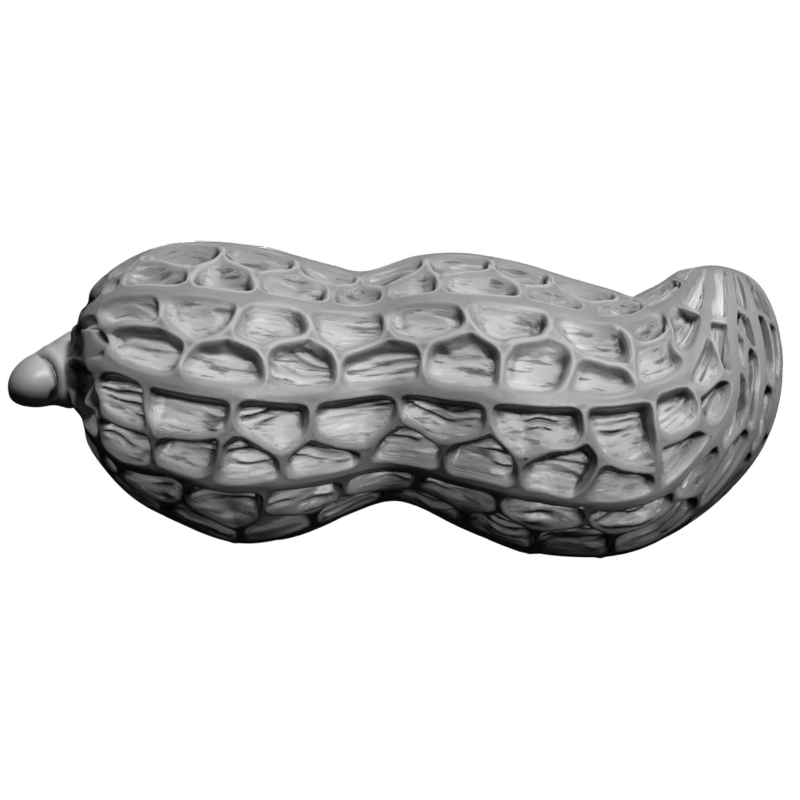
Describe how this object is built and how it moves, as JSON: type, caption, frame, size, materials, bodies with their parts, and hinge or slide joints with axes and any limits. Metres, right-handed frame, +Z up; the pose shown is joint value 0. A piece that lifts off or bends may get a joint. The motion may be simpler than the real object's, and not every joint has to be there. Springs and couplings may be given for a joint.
{
  "type": "peanut",
  "caption": "Peanut in its shell: two-lobed pod with a waist, a stem stub and a blunt up-curled beak, netted with raised ribs and sunk cells",
  "frame": {"origin": "middle of the bounding box in X and Y, on the plane it rests on", "axes": "+X runs along the pod from the stem stub to the beak end, +Z is up, toward the side the beak curls to, +Y is away from the side shown in the picture"},
  "size_m": [0.046, 0.0172, 0.0179],
  "materials": {
    "shell": "satin"
  },
  "bodies": {
    "root": {"peanut": "shell"}
  },
  "joints": []
}
